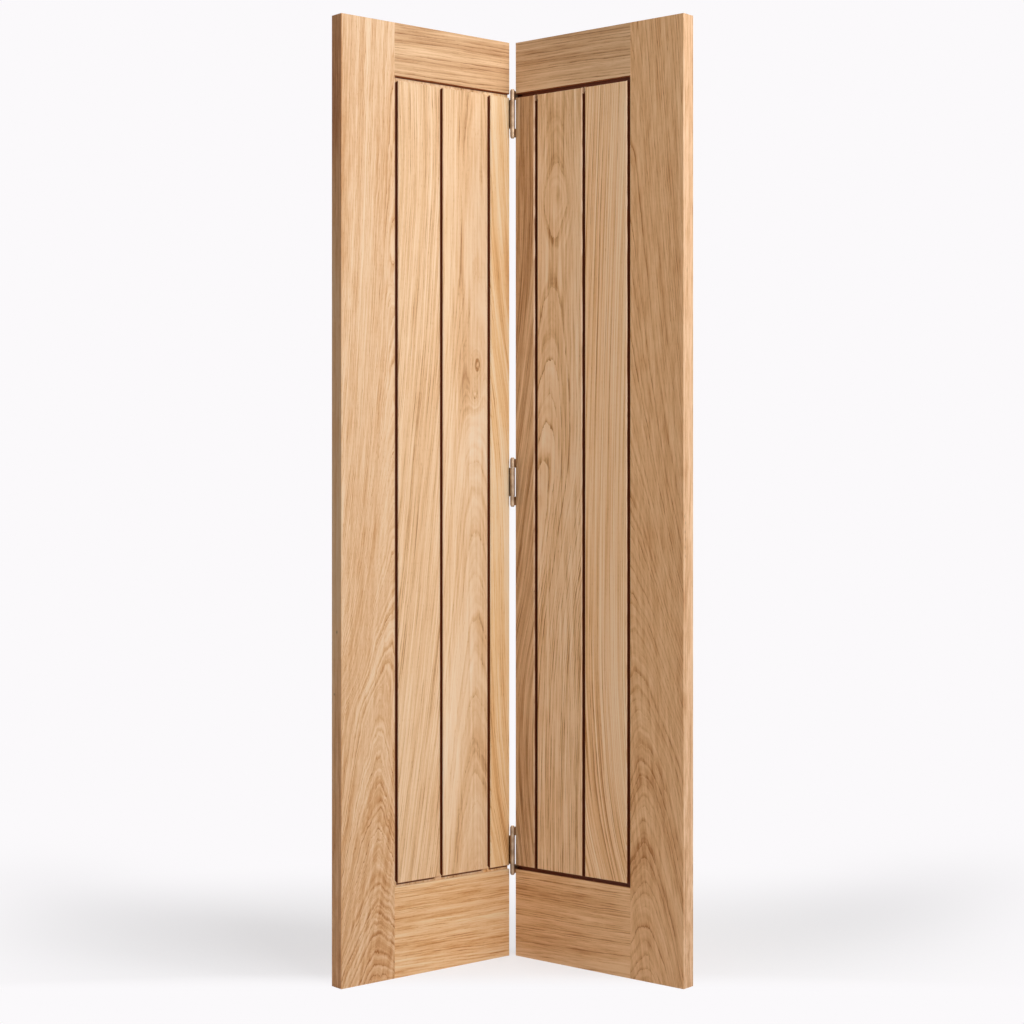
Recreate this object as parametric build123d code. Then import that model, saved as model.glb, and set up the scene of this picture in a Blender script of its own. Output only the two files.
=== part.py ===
from build123d import *
import os

# Bi-fold door: two boarded oak leaves joined by three flush hinges, standing part folded.
# Millimetres, +Z up. The fold opens towards -Y, and the hinge pins stand in the middle of X.
# Each leaf is drawn in its own frame: X from the meeting edge out to the hanging edge,
# Y from the inner face of the fold to the outer face, Z up from the foot.

# Leaf
leaf_height = 2007.0
leaf_width = 449.5
leaf_thickness = 35.0
stile_width = 138.0
top_rail_height = 113.0
bottom_rail_height = 190.5
outer_board_width = 112.0
half_board_width = 53.5
hanging_arris_radius = 1.5
meeting_arris_radius = 1.0

# Tongue and groove joints, with a shadow channel between the fields on both faces
channel_width = 7.5
channel_depth = 7.0
field_bevel = 2.0
tongue_grip = 8.0
tongue_clearance = 0.2
slot_end_gap = 0.6

# Mortise and tenon between rail and stile
tenon_thickness = 12.0
tenon_length = 42.0
tenon_shoulder = 20.0

# Fold and hinge places
fold_angle = 39.85
closed_gap = 3.0
top_hinge_drop = 157.0
middle_hinge_height = 1041.0
bottom_hinge_height = 232.5

# Flush hinge: the inner plate folds into the notch of the outer plate
hinge_length = 101.6
end_knuckle_length = 19.0
knuckle_gap = 0.4
pin_stand_off = 8.7
pin_radius = 3.0
pin_clearance = 0.05
plate_thickness = 2.2
outer_plate_reach = 29.0
inner_plate_reach = 19.5
notch_gap = 0.8
plate_corner_radius = 2.0
tip_radius = 4.2
tip_height = 3.4
tip_chamfer = 1.6
screw_hole_radius = 2.2
countersink_radius = 4.4
end_screw_reaches = (7.5, 21.5)
inner_screw_spacing = 22.0
inner_screw_reach = 10.5

# Places that follow from the sizes
stile_edge = leaf_width - stile_width
tongue_thickness = leaf_thickness - 2 * channel_depth
top_rail_foot = leaf_height - top_rail_height
panel_bottom = bottom_rail_height + channel_width
panel_top = top_rail_foot - channel_width
inner_board_start = half_board_width + channel_width
outer_board_start = stile_edge - channel_width - outer_board_width
inner_board_end = outer_board_start - channel_width
knuckle_radius = pin_radius + pin_clearance + plate_thickness
notch_half_length = hinge_length / 2 - end_knuckle_length
pin_x = -closed_gap / 2
pin_y = -pin_stand_off


def block(x0, x1, y0, y1, z0, z1):
    """A rectangular solid between two corners."""
    middle = Pos((x0 + x1) / 2, (y0 + y1) / 2, (z0 + z1) / 2)
    return middle * Box(x1 - x0, y1 - y0, z1 - z0)


def prism(outline, z0, z1):
    """A plan outline pulled up from z0 to z1."""
    return Pos(0, 0, z0) * extrude(make_face(Polyline(*outline, close=True)), z1 - z0)


def side_profile(outline):
    """A Y-Z outline drawn out along the whole width of a leaf."""
    return extrude(Plane.YZ * make_face(Polyline(*outline, close=True)), leaf_width)


def centred(x0, x1, thickness, z0, z1):
    """A block centred in the leaf's thickness."""
    margin = (leaf_thickness - thickness) / 2
    return block(x0, x1, margin, leaf_thickness - margin, z0, z1)


def slot(x0, x1, z0, z1):
    """Room for a tongue, with its clearance on both sides."""
    return centred(x0, x1, tongue_thickness + 2 * tongue_clearance, z0, z1)


def stile():
    """Outer upright: bevelled and slotted on its inner edge, mortised for both rails."""
    outline = [
        (stile_edge, field_bevel),
        (stile_edge + field_bevel, 0),
        (leaf_width, 0),
        (leaf_width, leaf_thickness),
        (stile_edge + field_bevel, leaf_thickness),
        (stile_edge, leaf_thickness - field_bevel),
    ]
    blank = prism(outline, 0, leaf_height)
    hanging_arrises = blank.edges().filter_by(Axis.Z).group_by(Axis.X)[-1]
    blank = fillet(hanging_arrises, hanging_arris_radius)
    slot_floor = stile_edge + tongue_grip + slot_end_gap
    blank -= slot(stile_edge, slot_floor, 0, leaf_height)
    mortise_end = stile_edge + tenon_length + slot_end_gap
    for foot, head in ((0, bottom_rail_height), (top_rail_foot, leaf_height)):
        blank -= centred(
            stile_edge,
            mortise_end,
            tenon_thickness + 2 * tongue_clearance,
            foot + tenon_shoulder - tongue_clearance,
            head - tenon_shoulder + tongue_clearance,
        )
    return blank


def rail(foot, head, panel_edge):
    """Rail coped over the stile's bevel, with a haunch and a tenon, slotted for the boards."""
    plan = [
        (0, 0),
        (stile_edge + field_bevel, 0),
        (stile_edge, field_bevel),
        (stile_edge, leaf_thickness - field_bevel),
        (stile_edge + field_bevel, leaf_thickness),
        (0, leaf_thickness),
    ]
    body = prism(plan, foot, head)
    meeting_arrises = body.edges().filter_by(Axis.Z).group_by(Axis.X)[0]
    body = fillet(meeting_arrises, meeting_arris_radius)
    inward = 1 if panel_edge == head else -1
    bevel_start = panel_edge - inward * field_bevel
    bevelled_edge = [
        (0, bevel_start),
        (field_bevel, panel_edge),
        (leaf_thickness - field_bevel, panel_edge),
        (leaf_thickness, bevel_start),
        (leaf_thickness, foot + head - panel_edge),
        (0, foot + head - panel_edge),
    ]
    body &= side_profile(bevelled_edge)
    body += centred(stile_edge / 2, stile_edge + tongue_grip, tongue_thickness, foot, head)
    body += centred(
        stile_edge / 2,
        stile_edge + tenon_length,
        tenon_thickness,
        foot + tenon_shoulder,
        head - tenon_shoulder,
    )
    slot_floor = panel_edge - inward * (tongue_grip + slot_end_gap)
    slot_foot, slot_head = sorted((panel_edge, slot_floor))
    return body - slot(0, stile_edge + tongue_grip, slot_foot, slot_head)


def board(x0, x1, slotted=True):
    """Board with a raised field on both faces, a tongue on three sides and a slot on the fourth."""
    start_bevel = field_bevel if slotted else 0
    plan = [
        (x0 + start_bevel, 0),
        (x1 - field_bevel, 0),
        (x1, field_bevel),
        (x1, leaf_thickness - field_bevel),
        (x1 - field_bevel, leaf_thickness),
        (x0 + start_bevel, leaf_thickness),
    ]
    if slotted:
        plan += [(x0, leaf_thickness - field_bevel), (x0, field_bevel)]
    field = prism(plan, panel_bottom, panel_top)
    if not slotted:
        meeting_arrises = field.edges().filter_by(Axis.Z).group_by(Axis.X)[0]
        field = fillet(meeting_arrises, meeting_arris_radius)
    ends = [
        (0, panel_bottom + field_bevel),
        (field_bevel, panel_bottom),
        (leaf_thickness - field_bevel, panel_bottom),
        (leaf_thickness, panel_bottom + field_bevel),
        (leaf_thickness, panel_top - field_bevel),
        (leaf_thickness - field_bevel, panel_top),
        (field_bevel, panel_top),
        (0, panel_top - field_bevel),
    ]
    field &= side_profile(ends)
    tongue = channel_width + tongue_grip
    foot, head = panel_bottom - tongue, panel_top + tongue
    piece = field + centred(x0, x1 + tongue, tongue_thickness, foot, head)
    if slotted:
        piece -= slot(x0, x0 + tongue_grip + slot_end_gap, foot, head)
    return piece


def screw_hole(y, z):
    """A countersunk hole, tapered right through the plate and widest away from the leaf."""
    seat = Location((-plate_thickness, y, z), (0, 90, 0))
    low = (Align.CENTER, Align.CENTER, Align.MIN)
    return seat * Cone(countersink_radius, screw_hole_radius, plate_thickness, align=low)


def knuckle(z0, z1):
    """One length of the rolled barrel, with the neck that joins it to its plate."""
    barrel = Pos(pin_x, pin_y, (z0 + z1) / 2) * Cylinder(knuckle_radius, z1 - z0)
    neck = block(-plate_thickness, 0, pin_y, 0, z0, z1)
    return barrel + neck


def pin_bore():
    """The hole that runs through every knuckle."""
    return Pos(pin_x, pin_y, 0) * Cylinder(pin_radius + pin_clearance, 2 * hinge_length)


def rounded_plate(reach, half_length):
    """A flat plate on the leaf's edge, with its two far corners rounded."""
    plate = block(-plate_thickness, 0, 0, reach, -half_length, half_length)
    far_corners = plate.edges().filter_by(Axis.X).group_by(Axis.Y)[-1]
    return fillet(far_corners, plate_corner_radius)


def outer_plate():
    """Full-length plate with a knuckle at each end and a notch for the inner plate."""
    half_length = hinge_length / 2
    plate = rounded_plate(outer_plate_reach, half_length)
    notch_reach = inner_plate_reach + notch_gap
    plate -= block(
        -plate_thickness, 0, 0, notch_reach, -notch_half_length, notch_half_length
    )
    plate += knuckle(-half_length, -notch_half_length)
    plate += knuckle(notch_half_length, half_length)
    screw_z = half_length - end_knuckle_length / 2
    for y in end_screw_reaches:
        plate -= screw_hole(y, screw_z)
        plate -= screw_hole(y, -screw_z)
    return plate - pin_bore()


def inner_plate():
    """Short plate with one long knuckle between the outer plate's two."""
    half_length = notch_half_length - knuckle_gap
    plate = rounded_plate(inner_plate_reach, half_length)
    plate += knuckle(-half_length, half_length)
    for step in (-1, 0, 1):
        plate -= screw_hole(inner_screw_reach, step * inner_screw_spacing)
    return plate - pin_bore()


def hinge_pin():
    """Pin through all three knuckles, with a chamfered tip on each end."""
    shaft = Cylinder(pin_radius, hinge_length)
    low = (Align.CENTER, Align.CENTER, Align.MIN)
    tip = Cylinder(tip_radius, tip_height, align=low)
    tip = chamfer(tip.edges().sort_by(Axis.Z)[-1], tip_chamfer)
    tip = Pos(0, 0, hinge_length / 2) * tip
    return Pos(pin_x, pin_y, 0) * (shaft + tip + mirror(tip, about=Plane.XY))


def right_side(shape):
    """Move from the leaf's frame to the right leaf of the folded pair, pin axis at X 0, Y 0."""
    return Rot(0, 0, -fold_angle) * Pos(-pin_x, -pin_y, 0) * shape


def left_side(shape):
    """The same place on the left leaf."""
    return mirror(right_side(shape), about=Plane.YZ)


# Both leaves are made of the same pieces
leaf_pieces = {
    "stile": stile(),
    "bottom_rail": rail(0, bottom_rail_height, panel_edge=bottom_rail_height),
    "top_rail": rail(top_rail_foot, leaf_height, panel_edge=top_rail_foot),
    "outer_board": board(outer_board_start, stile_edge - channel_width),
    "inner_board": board(inner_board_start, inner_board_end),
    "half_board": board(0, half_board_width, slotted=False),
}
nodes = {}
for name, piece in leaf_pieces.items():
    nodes["left_" + name] = left_side(piece)
    nodes["right_" + name] = right_side(piece)

# Three hinges, the outer plate on the right leaf and the inner plate on the left one
hinge_heights = {
    "top": leaf_height - top_hinge_drop,
    "middle": middle_hinge_height,
    "bottom": bottom_hinge_height,
}
for level, height in hinge_heights.items():
    lift = Pos(0, 0, height)
    nodes[level + "_hinge_outer_plate"] = lift * right_side(outer_plate())
    nodes[level + "_hinge_inner_plate"] = lift * left_side(inner_plate())
    nodes[level + "_hinge_pin"] = lift * right_side(hinge_pin())

# The origin goes to the middle of the folded pair's plan, on the floor
front = nodes["right_stile"].bounding_box().min.Y
back = nodes["right_top_rail"].bounding_box().max.Y
to_origin = Pos(0, -(front + back) / 2, 0)

os.makedirs("parts", exist_ok=True)
for name, shape in nodes.items():
    export_step(to_origin * shape, "parts/" + name + ".step")
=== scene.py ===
from math import cos, radians, sin

import bpy
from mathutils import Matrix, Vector


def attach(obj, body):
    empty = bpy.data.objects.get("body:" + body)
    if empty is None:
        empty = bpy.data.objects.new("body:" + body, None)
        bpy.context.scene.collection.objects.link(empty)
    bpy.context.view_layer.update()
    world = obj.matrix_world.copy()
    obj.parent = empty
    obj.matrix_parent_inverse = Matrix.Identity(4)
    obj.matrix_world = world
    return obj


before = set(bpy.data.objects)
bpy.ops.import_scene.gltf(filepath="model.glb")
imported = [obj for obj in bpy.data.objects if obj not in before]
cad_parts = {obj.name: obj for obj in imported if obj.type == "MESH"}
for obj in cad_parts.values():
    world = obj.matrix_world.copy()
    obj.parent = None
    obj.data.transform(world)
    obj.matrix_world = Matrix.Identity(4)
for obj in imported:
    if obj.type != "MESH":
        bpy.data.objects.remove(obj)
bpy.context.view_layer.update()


# The camera: it stands level a little above waist height, straight in front of the open
# fold, and its lens shift puts the horizon a little above the middle of the picture.
eye = (0.0, -4.2641, 1.0639)
bpy.ops.object.camera_add(location=eye, rotation=(radians(90), 0, 0))
camera = bpy.context.active_object
camera.data.sensor_width = 36
camera.data.lens = 70.24
camera.data.shift_x = -0.0005
camera.data.shift_y = -0.03935
bpy.context.scene.camera = camera


# The studio: soft lamps high on the right, overhead and behind, pale light from all round,
# and a white floor that keeps the pair's own soft shadow, with two more soft shadows painted
# beside it.
def srgb(red, green, blue):
    """A colour in 0 to 255, as a screen shows it, made linear for a shader."""
    channels = []
    for value in (red, green, blue):
        value /= 255
        low = value <= 0.04045
        channels.append(value / 12.92 if low else ((value + 0.055) / 1.055) ** 2.4)
    return (*channels, 1.0)


def blank(name):
    """A new material and its empty node tree."""
    stuff = bpy.data.materials.new(name)
    stuff.use_nodes = True
    stuff.node_tree.nodes.clear()
    return stuff, stuff.node_tree


def lay(tree, kind, sockets=(), **settings):
    """One shader node with its settings, and a value or a link on each socket named."""
    node = tree.nodes.new("ShaderNode" + kind)
    for key, value in settings.items():
        setattr(node, key, value)
    for key, value in dict(sockets).items():
        if isinstance(value, bpy.types.NodeSocket):
            tree.links.new(value, node.inputs[key])
        else:
            node.inputs[key].default_value = value
    return node


def reckon(tree, operation, *terms, clamp=False):
    """One sum on the shader's numbers."""
    sockets = dict(enumerate(terms))
    return lay(tree, "Math", sockets, operation=operation, use_clamp=clamp).outputs[0]


def spread(tree, value, start, end, low=0.0, high=1.0, **settings):
    """Runs from low to high while the value runs from start to end."""
    sockets = {"Value": value, "From Min": start, "From Max": end, "To Min": low, "To Max": high}
    return lay(tree, "MapRange", sockets, **settings).outputs["Result"]


def shown_straight(tree):
    """1 where the camera, a gloss or a clear piece looks at the studio, else 0."""
    rays = lay(tree, "LightPath").outputs
    seen = reckon(tree, "MAXIMUM", rays["Is Camera Ray"], rays["Is Glossy Ray"])
    return reckon(tree, "MAXIMUM", seen, rays["Is Transmission Ray"])


bpy.context.scene.view_settings.view_transform = "Standard"
backdrop_white = srgb(251, 249, 251)
room_light = 0.12
# each lamp: bearing to the right of the camera, distance, height, the height it aims at,
# size and watts
lamps = {
    "main_lamp": (30, 3.0, 2.05, 1.0, 1.5, 42.5),
    "side_lamp": (60, 3.0, 3.5, 0.9, 1.0, 56),
    "overhead_lamp": (0, 0.3, 4.2, 0.0, 2.0, 46),
    "back_lamp": (180, 3.2, 2.4, 1.0, 2.0, 40),
}

world = bpy.data.worlds.new("pale_room")
bpy.context.scene.world = world
world.use_nodes = True
room = world.node_tree
room.nodes.clear()
ambient = lay(room, "Background", {"Color": (1, 1, 1, 1), "Strength": room_light})
white = lay(room, "Background", {"Color": backdrop_white, "Strength": 1.0})
sockets = {0: shown_straight(room), 1: ambient.outputs[0], 2: white.outputs[0]}
either = lay(room, "MixShader", sockets)
lay(room, "OutputWorld", {"Surface": either.outputs[0]})

for name, (bearing, distance, height, aim, size, watts) in lamps.items():
    turn = radians(bearing)
    stand = Vector((distance * sin(turn), -distance * cos(turn), height))
    bpy.ops.object.light_add(type="AREA", location=stand)
    lamp = bpy.context.active_object
    lamp.name = name
    lamp.data.energy = watts
    lamp.data.size = size
    lamp.rotation_euler = (Vector((0, 0, aim)) - stand).to_track_quat("-Z", "Y").to_euler()

floor_radius = 14
floor_albedo = 0.8
shadow_strength = 0.36
floor_glow = 0.575
# the shadow shows on a rounded patch of floor, which fades to plain white all round it
patch_shift = (0.05, -0.3, 0)
patch_core = (0.4, 0, 0)
patch_stretch = (0.85, 1, 1)
patch_fade = (0.05, 0.88)
front_fade = (0.04, -0.16)
# painted soft shadows beside the pair: place on the floor, turn, half width, half length,
# strength
painted_floor_shadows = [(0.92, 0.64, -36, 0.28, 0.6, 0.115), (-1.08, 0.7, 30, 0.26, 0.5, 0.075)]

bpy.ops.object.select_all(action="DESELECT")
bpy.ops.mesh.primitive_circle_add(
    vertices=96, radius=floor_radius, fill_type="NGON", location=(0, 0, 0)
)
floor = bpy.context.active_object
floor.name = "studio_floor"
paint, tree = blank("floor_white")
spot = lay(tree, "TexCoord").outputs["Object"]
near = lay(tree, "VectorMath", {0: spot, 1: patch_shift}, operation="ADD").outputs[0]
near = lay(tree, "VectorMath", {0: near}, operation="ABSOLUTE").outputs[0]
near = lay(tree, "VectorMath", {0: near, 1: patch_core}, operation="SUBTRACT").outputs[0]
near = lay(tree, "VectorMath", {0: near, 1: (0, 0, 0)}, operation="MAXIMUM").outputs[0]
near = lay(tree, "VectorMath", {0: near, 1: patch_stretch}, operation="MULTIPLY").outputs[0]
away = lay(tree, "VectorMath", {0: near}, operation="LENGTH").outputs["Value"]
fade = spread(tree, away, *patch_fade, interpolation_type="SMOOTHSTEP")
forward = lay(tree, "SeparateXYZ", {0: spot}).outputs["Y"]
front = spread(tree, forward, *front_fade, interpolation_type="SMOOTHSTEP")
fade = reckon(tree, "MAXIMUM", fade, front)
lit = lay(tree, "BsdfDiffuse", {"Color": (shadow_strength,) * 3 + (1,)})
glow = lay(tree, "Emission", {"Color": backdrop_white, "Strength": floor_glow})
shadowed = lay(tree, "AddShader", {0: lit.outputs[0], 1: glow.outputs[0]})
plain = lay(tree, "Emission", {"Color": backdrop_white, "Strength": 1.0})
view = lay(tree, "MixShader", {0: fade, 1: shadowed.outputs[0], 2: plain.outputs[0]})
# the painted shadows darken the floor's view towards black, except where it fades in front
painted_shadow_amount = 0.0
for x, y, turn, wide, long, strength in painted_floor_shadows:
    place = {
        "Vector": spot,
        "Location": (x, y, 0),
        "Rotation": (0, 0, radians(turn)),
        "Scale": (wide, long, 1),
    }
    place = lay(tree, "Mapping", place, vector_type="TEXTURE").outputs[0]
    square = lay(tree, "VectorMath", {0: place, 1: place}, operation="DOT_PRODUCT")
    shade = reckon(tree, "EXPONENT", reckon(tree, "MULTIPLY", square.outputs["Value"], -1.0))
    painted_shadow_amount = reckon(tree, "MULTIPLY_ADD", shade, strength, painted_shadow_amount)
painted_shadow_amount = reckon(tree, "MULTIPLY", painted_shadow_amount, reckon(tree, "SUBTRACT", 1.0, front))
# black, for the painted shadows
dark = lay(tree, "Emission", {"Strength": 0.0})
view = lay(tree, "MixShader", {0: painted_shadow_amount, 1: view.outputs[0], 2: dark.outputs[0]})
bounce = lay(tree, "BsdfDiffuse", {"Color": (floor_albedo,) * 3 + (1,)})
sockets = {0: shown_straight(tree), 1: bounce.outputs[0], 2: view.outputs[0]}
both = lay(tree, "MixShader", sockets)
lay(tree, "OutputMaterial", {"Surface": both.outputs[0]})
floor.data.materials.append(paint)


# Left stile: the outer upright, a plain oak plank, mortised for both rails and grooved for
# the boards. It was sawn off the heart of the log, so its rings run as arches low down and
# as leaning lines above. The oak's own shader is made here.
fold_turn = radians(39.85)
# the hinge pins: how far behind the part's middle they stand, and how far off each leaf's
# meeting edge and front face, in millimetres as are all sizes of the leaves
pin_back, edge_gap, pin_front = 124.76, 1.5, 8.7
leaf_corner = (
    pin_back * sin(fold_turn) - edge_gap,
    -pin_back * cos(fold_turn) - pin_front,
    0,
)
leaf_depth = 35.0

# the stain in the channels, partly real stain and partly painted shade that darkens towards
# the channels' floor: its browns on the bevels and on the floor, the widths and heights of
# the leaf that hold it, how deep below the face it begins and is full, and the depths of its
# two browns in centimetres
bevel_stain_and_shade, channel_stain_and_shade = srgb(132, 68, 26), srgb(98, 39, 5)
stain_and_shade_widths = (0.5, 313.4)
stain_and_shade_heights = (188.4, 1896.1)
stain_and_shade_depths = (0.7, 1.7)
shade_brown_depths = (0.2, 0.6)
# on the left leaf's boards the brown is painted shade in the shape of the rails' and the
# boards' cast shadows: the slopes and heights at which the upright channels' shade ends, the
# height above which the top channel has any, and the heights shaded at the foot
left_shadow_head, left_shadow_foot = (0.55, 1884.5), (-1.33, 199)
left_shadow_top = 1892.8
left_shadow_bevel = (194.5, 199.5)
# on the right leaf's boards: the slope and heights of a chip at a channel's head, left bare
# of the painted shade where light reaches in
lit_chip_slope, lit_chip_heights = -1.75, (1874, 1888)
# the arris before each upright channel, painted pale as a highlight, which also keeps the
# stain back off it: its width and its foot, how deep a full highlight keeps the stain back,
# how long one is, and the least there is anywhere; between two heights it grows from a low
# share to the whole
arris_highlight = srgb(244, 206, 170)
arris_width, arris_foot = 3.4, 198
highlight_depth, highlight_length, least_highlight = 1.2, 90.0, 0.3
highlight_heights, low_highlight = (700, 1300), 0.45
# the noise over which a highlight grows, and how far from a channel's edge the highlight
# and the stain change
highlight_limits = (0.4, 0.6)
highlight_end, stain_and_shade_start = 0.05, 0.1

# the oak: its log's radius, the furthest its rings and fibres run off sideways, the length
# between two planks of the pile, the sizes of its features across and along the grain, and
# where a stile's lipping begins
log_radius, side_reach = 400.0, 200
plank_step = 777
sway_size, ripple_size = (70, 480), (16, 60)
jag_size, tick_size, blot_size = (2.5, 40), (1.6, 22), (2.5, 5)
fibre_width, stripe_length, pore_size = 5.5, 900, (0.6, 10)
lipping_start = 448.6
# how steeply a knot's rim and its pale middle fall off, and a ring's porous line, and how
# much a knot's blots stand out
knot_rim, knot_middle, ring_fade = 3.0, 14.0, 4.0
blot_contrast, blot_shift = 2.4, -0.4
# how fast the years' widths change, and how many years that shifts the rings at most
year_change, year_swing = 0.3, 1.5
# how much of a ring line's strength is its own year's, and how much all have
own_share, shared = 0.8, 0.2
# what breaks a ring line up, ticks and patches, and its strength from weak to strong there
tick_share, patch_share = 0.6, 1.4
break_limits, break_strength = (0.8, 1.2), (0.4, 1.4)
# the faint lines between the rings: their width in years, their size across and along
ringlet_width, ringlet_across, ringlet_along = 0.4, 100, 260
# the noise that is a pore, how dark one is, and how much of that in and out of the lines
pore_limits, pore_dark = (0.60, 0.74), 0.3
pore_in_line, pore_anywhere = 0.6, 0.3
# where each of the four shades stands between pale and dark, and a lipping knot's brown
shade_stops = (0.0, 0.36, 0.68, 1.0)
spot_brown, spot_strength = srgb(96, 58, 30), 0.7
# the oiled face: roughness of smooth wood, fibres and pores, its sheen, and its relief
smooth, fibre_rough, pore_rough = 0.36, 0.25, 0.2
oil_sheen = 0.35
relief_height, relief_strength = 0.00015, 0.6


def leaf_place(tree, leaf):
    """Width from the meeting edge, depth behind the face and height on one leaf."""
    side = -1000 if leaf == "left" else 1000
    sockets = {
        "Vector": lay(tree, "TexCoord").outputs["Object"],
        "Location": leaf_corner,
        "Rotation": (0, 0, fold_turn),
        "Scale": (side, 1000, 1000),
    }
    place = lay(tree, "Mapping", sockets).outputs[0]
    return lay(tree, "SeparateXYZ", {0: place}).outputs


def curve(tree, value, points, low, high):
    """A smooth curve through a few (input, output) points."""
    start, end = points[0][0], points[-1][0]
    bend = lay(tree, "FloatCurve", {"Value": spread(tree, value, start, end)})
    line = bend.mapping.curves[0]
    while len(line.points) < len(points):
        line.points.new(0.5, 0.5)
    places = [((x - start) / (end - start), (y - low) / (high - low)) for x, y in points]
    for point, place in zip(line.points, places):
        point.location = place
        point.handle_type = "AUTO_CLAMPED"
    bend.mapping.update()
    return reckon(tree, "MULTIPLY_ADD", bend.outputs["Value"], high - low, low)


def grain(tree, vector, size, detail=2.0, rough=0.55):
    """Even noise, 0 to 1, whose features have a size across and along the grain."""
    across, along = size
    scale = (1 / across, 1 / across, 1 / along)
    place = lay(tree, "VectorMath", {0: vector, 1: scale}, operation="MULTIPLY").outputs[0]
    sockets = {"Vector": place, "Scale": 1.0, "Detail": detail, "Roughness": rough}
    return lay(tree, "TexNoise", sockets)


def weigh(tree, value, weight, total):
    """Adds an even noise to a total, with its middle taken off."""
    return reckon(tree, "MULTIPLY_ADD", reckon(tree, "SUBTRACT", value, 0.5), weight, total)


def soft_spot(tree, x, y, middle, half, tilt=0.0):
    """1 in the middle of a soft oval, falling off beyond its half width and half height."""
    y = reckon(tree, "SUBTRACT", y, middle[1])
    x = reckon(tree, "MULTIPLY_ADD", y, -tilt, reckon(tree, "SUBTRACT", x, middle[0]))
    x = reckon(tree, "DIVIDE", x, half[0])
    y = reckon(tree, "DIVIDE", y, half[1])
    square = reckon(tree, "MULTIPLY_ADD", x, x, reckon(tree, "MULTIPLY", y, y))
    return reckon(tree, "EXPONENT", reckon(tree, "MULTIPLY", square, -1.0))


def inside(tree, *limits):
    """1 where every (value, lowest, highest) holds, else 0."""
    total = 1.0
    for value, lowest, highest in limits:
        if lowest is not None:
            total = reckon(tree, "MULTIPLY", total, reckon(tree, "GREATER_THAN", value, lowest))
        if highest is not None:
            total = reckon(tree, "MULTIPLY", total, reckon(tree, "LESS_THAN", value, highest))
    return total


def blend(tree, amount, first, second, **settings):
    """A colour between two others."""
    sockets = {0: amount, 6: first, 7: second}
    return lay(tree, "Mix", sockets, data_type="RGBA", **settings).outputs[2]


def dress(piece, stuff):
    """Puts one material into all slots of a CAD piece."""
    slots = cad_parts[piece].data.materials
    for place in range(len(slots)):
        slots[place] = stuff


def stain_and_painted_shade(tree, wood, piece, place, board, highlight):
    """Stain and painted shade in the channels between the raised fields, darker towards their
    floor, and a painted highlight on the arrises.
    """
    leaf, kind = piece.split("_", 1)
    width, depth, height = place
    half = leaf_depth / 2
    edge = reckon(tree, "ABSOLUTE", reckon(tree, "SUBTRACT", depth, half))
    edge = reckon(tree, "SUBTRACT", half, edge)
    arris = 0.0
    # the arris before the channel is painted pale as a highlight, patchy along its height
    if board:
        foot_start, channel = board
        rub = {"W": reckon(tree, "DIVIDE", height, highlight_length), "Scale": 1.0, "Detail": 2.0}
        rub = lay(tree, "TexNoise", rub, noise_dimensions="1D").outputs[0]
        rub = spread(tree, rub, *highlight_limits, least_highlight)
        rub = reckon(tree, "MULTIPLY", rub, spread(tree, height, *highlight_heights, low_highlight))
        across = (width, channel - arris_width, channel + highlight_end)
        arris = inside(tree, across, (height, arris_foot, None), (depth, None, half))
        arris = reckon(tree, "MULTIPLY", reckon(tree, "MULTIPLY", arris, rub), highlight)
        past = reckon(tree, "SUBTRACT", width, channel)
        beside = (width, channel - stain_and_shade_start, None)
    under = reckon(tree, "MULTIPLY_ADD", arris, -highlight_depth, edge)
    under = spread(tree, under, *stain_and_shade_depths)
    area = inside(tree, (width, *stain_and_shade_widths), (height, *stain_and_shade_heights))
    plain = reckon(tree, "MULTIPLY", under, area)
    face = plain
    # a top rail's lower edge is painted shade; the left foot rail's front has none
    if kind == "top_rail":
        face = inside(tree, (width, *stain_and_shade_widths), (height, None, stain_and_shade_heights[1]))
    elif kind == "bottom_rail" and leaf == "left":
        face = 0.0
    # on the left boards the shade is painted in the shape of cast shadows
    elif board and leaf == "left":
        head = reckon(tree, "MULTIPLY_ADD", past, left_shadow_head[0], height)
        foot = reckon(tree, "MULTIPLY_ADD", past, left_shadow_foot[0], height)
        face = inside(tree, beside, (head, None, left_shadow_head[1]), (foot, left_shadow_foot[1], None))
        top = inside(tree, (height, left_shadow_top, None))
        bottom = inside(tree, (width, foot_start, channel), (height, *left_shadow_bevel))
        face = reckon(tree, "MAXIMUM", face, reckon(tree, "MAXIMUM", top, bottom))
        face = reckon(tree, "MULTIPLY", face, under)
    # on the right inner and half boards a chip at each channel's head is left bare of the painted
    # shade
    elif board and kind != "outer_board":
        head = reckon(tree, "MULTIPLY_ADD", past, lit_chip_slope, height)
        lit_chip = inside(tree, beside, (head, lit_chip_heights[0], None), (height, None, lit_chip_heights[1]))
        face = reckon(tree, "MULTIPLY", plain, reckon(tree, "SUBTRACT", 1.0, lit_chip))
    front = reckon(tree, "LESS_THAN", depth, half)
    amount = lay(tree, "Mix", {0: front, 2: plain, 3: face}).outputs[0]
    # the brown darkens deeper into the channel: painted shade
    tone = lay(tree, "ValToRGB", {"Fac": reckon(tree, "DIVIDE", edge, 10.0)})
    browns = zip(tone.color_ramp.elements, shade_brown_depths, (bevel_stain_and_shade, channel_stain_and_shade))
    for element, stop, brown in browns:
        element.position = stop
        element.color = brown
    # the painted highlight on the arris
    wood = blend(tree, arris, wood, arris_highlight)
    return blend(tree, amount, wood, tone.outputs["Color"])
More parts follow.
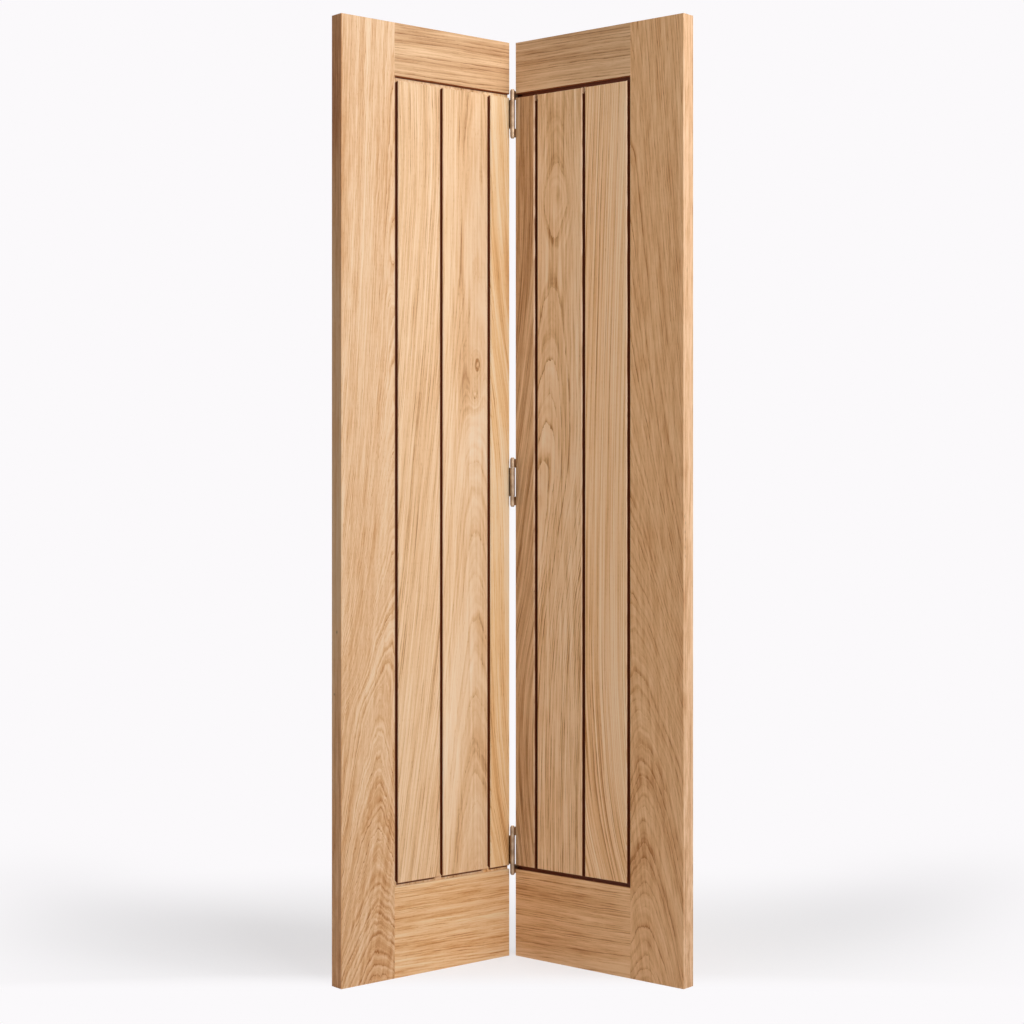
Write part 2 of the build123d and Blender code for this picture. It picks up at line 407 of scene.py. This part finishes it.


# What oak() is told of a plank, besides its four shades from pale to dark. A list of pairs
# is a curve: a place along the plank, and the value there.
# heart, depths: the place of the log's heart across the leaf, and the face's distance from it
# rise, drift, lean: how far the rings climb out of the face, how far they run off sideways,
# and how far the fibres do
# ring, seed: one year's width, and which plank of the pile it is
# sway, ripple, jag: how far the rings wander in long waves, short waves and single steps
# start: the tone of the bare wood
# lines, bands, clouds, stripes, fibres, ringlets: how strong the ring lines are, the light
# and dark years, the broad patches, the long stripes (stripe_width wide), the fibres
# (reach long) and the faint lines between the rings
# knots: place across and along, half width, half length, bulge of the rings, darkness
# smears: place across and along, half width, half length, tilt, darkness
# tint, spots: a stile's lipping, its tint and its small knots (depth, height, half sizes)
# board: where the stain and shade on a board's foot and where its upright channel begin,
# from the meeting edge; last, how strong the painted highlight on the arris there is
def oak(
    piece,
    shades,
    heart,
    depths,
    rise=None,
    drift=None,
    lean=None,
    ring=5.0,
    seed=0.0,
    sway=7.0,
    ripple=1.6,
    jag=0.8,
    start=0.38,
    lines=0.5,
    bands=0.3,
    clouds=0.5,
    stripes=0.6,
    stripe_width=14,
    fibres=1.0,
    reach=200,
    ringlets=0.6,
    knots=(),
    smears=(),
    tint=None,
    spots=(),
    board=None,
    highlight=0.0,
):
    """Oiled oak for one piece: growth rings about a heart line, fibres, pores and knots."""
    stuff, tree = blank(piece + "_oak")
    width, depth, height = leaf_place(tree, piece.split("_")[0])
    along, over = (width, height) if piece.endswith("rail") else (height, width)

    # where the plank was in the log, with its slow sway and its quick ripple
    slant = over
    if drift or lean:
        off = curve(tree, along, lean or drift, -side_reach, side_reach)
        slant = reckon(tree, "ADD", over, off)
    if drift:
        over = reckon(tree, "ADD", over, curve(tree, along, drift, -side_reach, side_reach))
    length = reckon(tree, "ADD", along, seed * plank_step)
    plain = lay(tree, "CombineXYZ", {0: slant, 1: depth, 2: length}).outputs[0]
    slow = grain(tree, plain, sway_size, 1).outputs["Color"]
    slow = lay(tree, "SeparateColor", {0: slow}).outputs
    quick = grain(tree, plain, ripple_size, 1).outputs["Color"]
    quick = lay(tree, "SeparateColor", {0: quick}).outputs
    over = weigh(tree, quick[0], 2 * ripple, weigh(tree, slow[0], 2 * sway, over))
    deep = reckon(tree, "ADD", curve(tree, along, depths, 0, log_radius), depth)
    deep = weigh(tree, quick[1], 2 * ripple, weigh(tree, slow[1], 2 * sway, deep))

    # smears of tone, and knots: the rings bulge round them, and they are darkest round
    # their middle, blotched like bark
    dark = 0.0
    for s_over, s_along, s_width, s_length, tilt, shade in smears:
        near = soft_spot(tree, slant, along, (s_over, s_along), (s_width, s_length), tilt)
        dark = reckon(tree, "MULTIPLY_ADD", near, shade, dark)
    blot = grain(tree, plain, blot_size, 2).outputs[0] if knots else 0.5
    blot = reckon(tree, "MULTIPLY_ADD", blot, blot_contrast, blot_shift)
    for k_over, k_along, k_width, k_length, bulge, shade in knots:
        near = soft_spot(tree, over, along, (k_over, k_along), (k_width, k_length))
        deep = reckon(tree, "MULTIPLY_ADD", near, bulge, deep)
        whole = reckon(tree, "POWER", near, knot_rim)
        middle = reckon(tree, "POWER", near, knot_middle)
        core = reckon(tree, "MULTIPLY", reckon(tree, "SUBTRACT", whole, middle), blot)
        dark = reckon(tree, "MULTIPLY_ADD", core, shade, dark)

    # growth rings: a dark porous line that fades outwards, uneven in width and strength
    gap = reckon(tree, "SUBTRACT", over, heart)
    square = reckon(tree, "MULTIPLY_ADD", gap, gap, reckon(tree, "MULTIPLY", deep, deep))
    radius = reckon(tree, "SQRT", square)
    if rise:
        radius = reckon(tree, "ADD", radius, curve(tree, along, rise, 0, rise[-1][1]))
    jags = grain(tree, plain, jag_size, 1).outputs[0]
    radius = weigh(tree, jags, 2 * jag, radius)
    if tint:
        lipping = inside(tree, (width, lipping_start, None))
        radius = lay(tree, "Mix", {0: lipping, 2: radius, 3: depth}).outputs[0]
    year = reckon(tree, "MULTIPLY_ADD", radius, year_change / ring, seed)
    year = {"W": year, "Scale": 1.0, "Detail": 2.0}
    year = lay(tree, "TexNoise", year, noise_dimensions="1D").outputs[0]
    count = reckon(tree, "MULTIPLY_ADD", year, year_swing, reckon(tree, "DIVIDE", radius, ring))
    fresh = reckon(tree, "SUBTRACT", 1.0, reckon(tree, "FRACT", count))
    porous = reckon(tree, "POWER", fresh, ring_fade)
    own = {"W": reckon(tree, "FLOOR", count)}
    own = lay(tree, "TexWhiteNoise", own, noise_dimensions="1D").outputs[0]
    own = reckon(tree, "MULTIPLY_ADD", own, own_share, shared)
    line = reckon(tree, "MULTIPLY", porous, own)
    tick = grain(tree, plain, tick_size, 1).outputs[0]
    patch = reckon(tree, "MULTIPLY", quick[2], patch_share)
    broken = reckon(tree, "MULTIPLY_ADD", tick, tick_share, patch)
    broken = spread(tree, broken, *break_limits, *break_strength)
    line = reckon(tree, "MULTIPLY", line, broken)
    step = reckon(tree, "DIVIDE", radius, ringlet_width * ring)
    wave = reckon(tree, "DIVIDE", length, ringlet_along)
    wave = reckon(tree, "MULTIPLY_ADD", over, 1 / ringlet_across, wave)
    wave = lay(tree, "CombineXYZ", {0: step, 1: wave}).outputs[0]
    ringlet = {"Vector": wave, "Scale": 1.0, "Detail": 2.0, "Roughness": 0.6}
    ringlet = lay(tree, "TexNoise", ringlet, noise_dimensions="2D").outputs[0]

    # tone: ring lines and bands, clouds, long stripes, fibres and the pores' short dashes
    stripe = grain(tree, plain, (stripe_width, stripe_length), 1).outputs[0]
    fibre = grain(tree, plain, (fibre_width, reach), 3, 0.65).outputs[0]
    pore = grain(tree, plain, pore_size, 0).outputs[0]
    dash = spread(tree, pore, *pore_limits)
    if isinstance(lines, list):
        lines = curve(tree, along, lines, 0, 2)
    if isinstance(bands, list):
        bands = curve(tree, along, bands, 0, 2)
    tone = reckon(tree, "MULTIPLY_ADD", line, lines, start)
    tone = weigh(tree, year, bands, tone)
    tone = weigh(tree, slow[2], clouds, tone)
    tone = weigh(tree, stripe, stripes, tone)
    tone = weigh(tree, fibre, fibres, tone)
    tone = weigh(tree, ringlet, ringlets, tone)
    dashes = reckon(tree, "MULTIPLY_ADD", porous, pore_in_line, pore_anywhere)
    dashes = reckon(tree, "MULTIPLY", dash, dashes)
    tone = reckon(tree, "MULTIPLY_ADD", dashes, pore_dark, tone)
    tone = reckon(tree, "ADD", tone, dark, clamp=True)
    ramp = lay(tree, "ValToRGB", {"Fac": tone})
    while len(ramp.color_ramp.elements) < len(shades):
        ramp.color_ramp.elements.new(0.5)
    for element, stop, shade in zip(ramp.color_ramp.elements, shade_stops, shades):
        element.position = stop
        element.color = srgb(*shade)

    wood = ramp.outputs["Color"]
    if tint:
        wood = blend(tree, lipping, wood, (*tint, 1), blend_type="MULTIPLY")
        spotted = 0.0
        for s_depth, s_height, s_wide, s_long in spots:
            near = soft_spot(tree, depth, height, (s_depth, s_height), (s_wide, s_long))
            spotted = reckon(tree, "MULTIPLY_ADD", near, spot_strength, spotted)
        spotted = reckon(tree, "MULTIPLY", spotted, lipping, clamp=True)
        wood = blend(tree, spotted, wood, spot_brown)
    colour = stain_and_painted_shade(tree, wood, piece, (width, depth, height), board, highlight)

    rough = reckon(tree, "MULTIPLY_ADD", fibre, fibre_rough, smooth)
    rough = reckon(tree, "MULTIPLY_ADD", dash, pore_rough, rough, clamp=True)
    relief = reckon(tree, "MULTIPLY_ADD", dash, -1.0, fibre)
    bump = {"Height": relief, "Distance": relief_height, "Strength": relief_strength}
    bump = lay(tree, "Bump", bump)
    skin = {
        "Base Color": colour,
        "Roughness": rough,
        "Specular IOR Level": oil_sheen,
        "Normal": bump.outputs[0],
    }
    skin = lay(tree, "BsdfPrincipled", skin)
    lay(tree, "OutputMaterial", {"Surface": skin.outputs[0]})
    dress(piece, stuff)


pale_oak = ((237, 213, 182), (230, 193, 154), (205, 154, 104), (160, 100, 48))
oak(
    "left_stile",
    pale_oak,
    heart=356,
    depths=[(0, 120), (150, 90), (300, 62), (650, 56), (900, 45), (1212, 40), (2007, 45)],
    rise=[(0, 0), (150, 60), (300, 112), (650, 167), (900, 213), (1212, 250), (2007, 285)],
    drift=[(0, 0), (540, 0), (660, 26), (900, 46), (2007, 50)],
    lean=[(0, 0), (300, 45), (700, 75), (1200, 100), (1700, 125), (2007, 130)],
    ring=4.2,
    ripple=2.4,
    jag=1.0,
    start=0.4,
    lines=[(0, 0.42), (400, 0.42), (600, 0.26), (1200, 0.38), (2007, 0.4)],
    bands=[(0, 0.33), (400, 0.33), (600, 0.14), (1100, 0.2), (2007, 0.3)],
    clouds=0.3,
    fibres=0.6,
    reach=70,
    ringlets=0.7,
    knots=[(357, 1470, 26, 45, 10, 0.0)],
    smears=[
        (380, 60, 130, 330, 0, 0.15),
        # painted shade on the outer edge's top and painted light down its middle, the next two
        (582, 1950, 4, 260, 0.02, 0.5),
        (540, 950, 4, 480, 0.05, -0.33),
    ],
    tint=(1.1, 0.92, 0.74),
    spots=[(16, 733, 2.2, 3.0), (25, 604, 1.6, 2.2)],
)


# Left rails: two oak cross planks at the head and the foot, tenoned into the stile and
# grooved for the boards, with their grain along their length.
honey_oak = ((233, 196, 155), (212, 170, 127), (183, 136, 91), (130, 84, 46))
amber_oak = ((238, 209, 168), (233, 191, 144), (211, 154, 97), (168, 103, 46))
oak(
    "left_top_rail",
    honey_oak,
    heart=1700,
    depths=[(0, 60), (450, 90)],
    ring=6.0,
    seed=1.3,
    lines=0.6,
    bands=0.6,
    clouds=0.4,
    stripes=0.9,
    fibres=0.9,
    reach=110,
)
oak(
    "left_bottom_rail",
    amber_oak,
    heart=-60,
    depths=[(0, 80), (450, 60)],
    seed=2.1,
    start=0.36,
    stripes=0.8,
    fibres=1.2,
    reach=90,
)


# Left boards: three oak uprights between the rails, tongued and grooved into each other.
# Brown lies in the channels between their raised fields, partly stain and partly painted
# shade, and the arris beside each has a painted highlight.
cream_oak = ((243, 221, 195), (238, 205, 168), (222, 180, 135), (170, 119, 72))
butter_oak = ((248, 222, 188), (242, 202, 151), (225, 171, 112), (170, 106, 50))
outer_place, inner_place, half_place = (204.4, 304.0), (73.4, 184.5), (0.5, 53.5)
# how strong the painted highlight on the left boards' arrises is
left_highlight = 0.4
oak(
    "left_outer_board",
    cream_oak,
    heart=20,
    depths=[(180, 60), (1900, 40)],
    drift=[(180, 0), (700, 76), (1100, 124), (1500, 164), (1750, 179), (1900, 176)],
    seed=3.7,
    start=0.49,
    lines=0.45,
    bands=0.4,
    clouds=0.3,
    smears=[(300, 1800, 90, 260, 0, 0.17), (300, 1080, 60, 260, 0, -0.1)],
    board=outer_place,
    highlight=left_highlight,
)
oak(
    "left_inner_board",
    cream_oak,
    heart=92,
    depths=[(180, 60), (1900, 60)],
    rise=[(180, 0), (900, 68), (1300, 105), (1500, 118), (1900, 130)],
    ring=8.0,
    seed=4.4,
    start=0.46,
    lines=0.2,
    bands=[(180, 0.8), (1000, 0.7), (1500, 0.25), (1900, 0.2)],
    clouds=0.65,
    stripes=0.3,
    knots=[
        (90, 1296, 11, 23, 13, 0.75),
        (97, 1232, 9, 18, 12, 0.7),
        (100, 1264, 26, 90, 14, 0.0),
    ],
    smears=[
        (92, 1282, 20, 62, 0, 0.22),
        (80, 460, 45, 330, 0.1, 0.16),
        (150, 560, 30, 330, -0.12, -0.22),
        (100, 1820, 90, 130, 0, 0.1),
        (100, 1500, 50, 150, 0, -0.12),
    ],
    board=inner_place,
    highlight=left_highlight,
)
oak(
    "left_half_board",
    butter_oak,
    heart=120,
    depths=[(180, 60), (1900, 70)],
    drift=[(180, 0), (450, -50), (1100, -80), (1500, -140), (1900, -170)],
    seed=5.2,
    start=0.32,
    bands=0.45,
    clouds=0.7,
    stripes=0.8,
    fibres=0.9,
    smears=[
        (90, 1850, 90, 130, 0, 0.22),
        (60, 1500, 60, 150, 0, -0.38),
        (30, 330, 60, 170, 0, 0.15),
    ],
    board=half_place,
    highlight=left_highlight,
)


# Right stile: the other leaf's outer upright, mortised and grooved like the left one, from
# an oak plank with wider arches at its foot, and with small knots down its lipping.
straw_oak = ((242, 200, 154), (228, 181, 132), (206, 153, 102), (170, 111, 61))
oak(
    "right_stile",
    straw_oak,
    heart=351,
    depths=[(0, 80), (300, 84), (460, 86), (650, 84), (900, 68), (1200, 48), (2007, 45)],
    rise=[
        (0, 0),
        (300, 53),
        (460, 81),
        (650, 119),
        (900, 183),
        (1200, 248),
        (1450, 279),
        (2007, 325),
    ],
    drift=[(0, 0), (430, 0), (600, 20), (900, 44), (2007, 48)],
    lean=[(0, 0), (300, 45), (700, 80), (1200, 110), (1700, 125), (2007, 128)],
    ring=5.5,
    seed=6.6,
    ripple=1.8,
    start=0.37,
    lines=[(0, 0.65), (340, 0.62), (560, 0.42), (900, 0.5), (1300, 0.6), (2007, 0.6)],
    bands=[(0, 0.5), (340, 0.45), (540, 0.22), (900, 0.25), (1300, 0.35), (2007, 0.3)],
    clouds=0.4,
    fibres=1.3,
    reach=70,
    smears=[(420, 280, 200, 260, 0, 0.08)],
    tint=(1.01, 1.07, 1.24),
    spots=[
        (4, 972, 1.0, 4.0),
        (7, 958, 0.8, 3.0),
        (5, 940, 1.0, 4.0),
        (8, 925, 0.8, 3.0),
        (5, 908, 1.0, 4.0),
        (6, 890, 0.8, 3.0),
        (12, 1480, 0.8, 5.0),
    ],
)


# Right rails: oak cross planks at the head and the foot of the right leaf, tenoned into
# its stile as on the left leaf.
oak(
    "right_top_rail",
    honey_oak,
    heart=1700,
    depths=[(0, 60), (450, 90)],
    ring=6.0,
    seed=7.9,
    start=0.25,
    lines=0.75,
    bands=0.6,
    clouds=0.8,
    stripes=1.1,
    reach=110,
)
oak(
    "right_bottom_rail",
    straw_oak,
    heart=-60,
    depths=[(0, 80), (450, 60)],
    seed=8.5,
    start=0.3,
    lines=1.0,
    clouds=1.1,
    fibres=1.5,
    reach=90,
)


# Right boards: three oak uprights, tongued and grooved as on the left leaf. The inner one
# was sawn along a bend of its log, so its rings close to an eye high up.
tan_oak = ((253, 222, 186), (245, 202, 156), (227, 178, 125), (176, 116, 62))
sand_oak = ((250, 224, 193), (242, 205, 164), (223, 180, 132), (169, 118, 69))
# how strong the painted highlight on the right boards' arrises is
right_highlight = 1.0
oak(
    "right_outer_board",
    tan_oak,
    heart=20,
    depths=[(180, 60), (1900, 40)],
    drift=[(180, 0), (350, 44), (500, 62), (700, 70), (1300, 60), (1900, 35)],
    seed=9.1,
    jag=0.4,
    start=0.35,
    lines=[(180, 0.6), (700, 0.5), (1100, 0.5), (1900, 0.55)],
    bands=[(180, 0.8), (700, 0.5), (1100, 0.4), (1900, 0.4)],
    stripes=2.0,
    stripe_width=3.0,
    fibres=1.4,
    reach=600,
    smears=[(270, 1200, 80, 420, 0, -0.18), (300, 320, 90, 200, 0, 0.1)],
    board=outer_place,
    highlight=right_highlight,
)
oak(
    "right_inner_board",
    sand_oak,
    heart=106,
    depths=[
        (180, 60),
        (800, 62),
        (1046, 71),
        (1230, 83),
        (1423, 97),
        (1530, 102),
        (1587, 99),
        (1652, 95),
        (1717, 99),
        (1900, 110),
    ],
    drift=[
        (180, 130),
        (400, 128),
        (700, 108),
        (900, 68),
        (1110, 22),
        (1227, 12),
        (1430, 2),
        (1650, -7),
        (1900, -8),
    ],
    lean=[(180, 0), (1900, 0)],
    ring=5.5,
    seed=10.3,
    sway=3.0,
    ripple=1.0,
    jag=0.4,
    start=0.4,
    lines=[(180, 0.9), (900, 0.75), (1250, 0.65), (1530, 0.4), (1700, 0.2), (1900, 0.2)],
    bands=[(180, 0.5), (900, 0.5), (1300, 0.6), (1560, 0.3), (1900, 0.15)],
    clouds=0.25,
    stripe_width=8,
    fibres=1.7,
    smears=[(130, 1830, 90, 120, 0, 0.2)],
    board=inner_place,
    highlight=right_highlight,
)
oak(
    "right_half_board",
    honey_oak,
    heart=120,
    depths=[(180, 60), (1900, 70)],
    drift=[(180, 0), (450, 25), (900, -50), (1350, -125), (1550, -145), (1900, -150)],
    ring=4.0,
    seed=11.7,
    start=0.42,
    bands=0.5,
    clouds=0.7,
    stripes=0.9,
    fibres=1.7,
    board=half_place,
    highlight=right_highlight,
)


# Hinges: pairs of pressed steel plates, lying on the leaves' meeting edges, with knuckles
# rolled round a steel pin. Their satin nickel has painted shade, dull brown, in the corner
# between the barrel and the left leaf.
nickel_shades = ((146, 122, 99), (188, 164, 138))
haze_stops = (0.35, 0.65)
# the painted shade's dull brown
painted_shade_brown = srgb(50, 25, 10)
# brushed lines and haze across and along the height, in metres, and how rough the metal is
rub_size, haze_size = (0.0006, 0.006), (0.012, 0.02)
rub_relief = 0.00003
least_rough, rub_rough = 0.34, 0.2


def nickel(finish, leaf=None, shade_width=(None, None), shade_depth=(None, None)):
    """Satin nickel, with painted shade in dull brown within some range of a leaf's width or depth.
    """
    stuff, tree = blank(finish)
    spot = lay(tree, "TexCoord").outputs["Object"]
    rub = grain(tree, spot, rub_size, 3).outputs[0]
    haze = grain(tree, spot, haze_size, 2).outputs[0]
    tint = lay(tree, "ValToRGB", {"Fac": haze})
    for element, stop, shade in zip(tint.color_ramp.elements, haze_stops, nickel_shades):
        element.position = stop
        element.color = srgb(*shade)
    colour = tint.outputs["Color"]
    if leaf:
        width, depth, _ = leaf_place(tree, leaf)
        # painted shade in dull brown within the given range of the leaf's width and depth
        painted_shade = inside(tree, (width, *shade_width), (depth, *shade_depth))
        colour = blend(tree, painted_shade, colour, painted_shade_brown)
    bump = lay(tree, "Bump", {"Height": rub, "Distance": rub_relief, "Strength": 0.5})
    skin = {
        "Base Color": colour,
        "Metallic": 1.0,
        "Roughness": reckon(tree, "MULTIPLY_ADD", rub, rub_rough, least_rough),
        "Normal": bump.outputs[0],
    }
    skin = lay(tree, "BsdfPrincipled", skin)
    lay(tree, "OutputMaterial", {"Surface": skin.outputs[0]})
    return stuff


satin_nickel = nickel("satin_nickel")
finishes = {
    "outer_plate": satin_nickel,
    # the left plates have painted shade in the corner by the left leaf
    "inner_plate": nickel("left_plate_nickel", "left", shade_depth=(-5.4, 0.6)),
    "pin": satin_nickel,
}
for level in ("top", "middle", "bottom"):
    for part, finish in finishes.items():
        dress(f"{level}_hinge_{part}", finish)


# Hinge screws: seven countersunk wood screws to a hinge, with a cross recess in the head,
# four through the outer plate into the right leaf's edge and three into the left one's.
# Their shanks have painted shade, dull brown, where they lie in the wood.

# the screw itself, in metres
head_radius, neck_radius, head_height = 0.0042, 0.0021, 0.0021
shank_length, tip_taper = 0.014, 0.6
rim_width, rim_rise = 0.0003, 0.00008
recess_length, recess_width, recess_depth = 0.0044, 0.0009, 0.0013
# how far a plate's face lies off the meeting edge, the heights of the hinges' middles, and
# each screw's depth behind the leaf's face and its height from there, in millimetres
plate_face = -2.2
hinge_heights = {"top": 1850.0, "middle": 1041.0, "bottom": 232.5}
screw_places = {
    "right": [(7.5, 41.3), (21.5, 41.3), (7.5, -41.3), (21.5, -41.3)],
    "left": [(10.5, 22.0), (10.5, 0.0), (10.5, -22.0)],
}
recess_turns = (12, 55, 80, 33, 68, 21, 47)


def pick(piece):
    """Selects one object and nothing else."""
    bpy.ops.object.select_all(action="DESELECT")
    piece.select_set(True)
    bpy.context.view_layer.objects.active = piece


def pick_face(piece, height):
    """Edit mode, with only the flat face at one height picked."""
    bpy.ops.object.mode_set(mode="OBJECT")
    for polygon in piece.data.polygons:
        polygon.select = abs(polygon.center.z - height) < 1e-5 and abs(polygon.normal.z) > 0.9
    for line in piece.data.edges:
        line.select = False
    for point in piece.data.vertices:
        point.select = False
    for polygon in piece.data.polygons:
        if polygon.select:
            for number in polygon.vertices:
                piece.data.vertices[number].select = True
    bpy.ops.object.mode_set(mode="EDIT")
    bpy.ops.mesh.select_mode(type="FACE")


bpy.ops.object.select_all(action="DESELECT")
bpy.ops.mesh.primitive_cone_add(
    vertices=32,
    radius1=neck_radius,
    radius2=head_radius,
    depth=head_height,
    location=(0, 0, -head_height / 2),
)
screw = bpy.context.active_object
screw.name = "hinge_screw"
bpy.ops.object.transform_apply(location=True)
pick_face(screw, -head_height)
bpy.ops.mesh.extrude_region_move(TRANSFORM_OT_translate={"value": (0, 0, -shank_length)})
bpy.ops.transform.resize(value=(tip_taper, tip_taper, 1))
pick_face(screw, 0)
bpy.ops.mesh.inset(thickness=rim_width, depth=rim_rise)
bpy.ops.object.mode_set(mode="OBJECT")
for turn in (0, 90):
    bpy.ops.object.select_all(action="DESELECT")
    bpy.ops.mesh.primitive_cube_add(
        size=1,
        location=(0, 0, 0),
        rotation=(0, 0, radians(turn)),
        scale=(recess_length, recess_width, 2 * recess_depth),
    )
    cutter = bpy.context.active_object
    cut = screw.modifiers.new("recess", "BOOLEAN")
    cut.operation = "DIFFERENCE"
    cut.solver = "EXACT"
    cut.object = cutter
    bpy.context.view_layer.objects.active = screw
    bpy.ops.object.modifier_apply(modifier=cut.name)
    bpy.data.objects.remove(cutter)
pick(screw)
bpy.ops.object.shade_smooth_by_angle(angle=radians(30))
# the shanks have painted shade where they lie in the wood, past the meeting edge
screw_nickel = {
    leaf: nickel(f"{leaf}_screw_nickel", leaf, shade_width=(0.2, None)) for leaf in screw_places
}

for level, middle in hinge_heights.items():
    count = 0
    for leaf, places in screw_places.items():
        side = -1 if leaf == "left" else 1
        outward = Vector((-side * cos(fold_turn), sin(fold_turn), 0))
        for behind, above in places:
            across, deep = edge_gap + plate_face, pin_front + behind
            x = across * cos(fold_turn) + deep * sin(fold_turn)
            y = -across * sin(fold_turn) + deep * cos(fold_turn) + pin_back
            piece = screw.copy()
            piece.data = screw.data.copy()
            piece.name = f"{level}_hinge_screw_{count + 1}"
            piece.data.materials.append(screw_nickel[leaf])
            bpy.context.scene.collection.objects.link(piece)
            pick(piece)
            piece.rotation_euler = (0, 0, radians(recess_turns[count]))
            bpy.ops.object.transform_apply(rotation=True)
            piece.rotation_euler = outward.to_track_quat("Z", "Y").to_euler()
            piece.location = (side * x / 1000, y / 1000, (middle + above) / 1000)
            bpy.ops.object.transform_apply(location=True, rotation=True)
            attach(piece, "root")
            count += 1
bpy.data.objects.remove(screw)
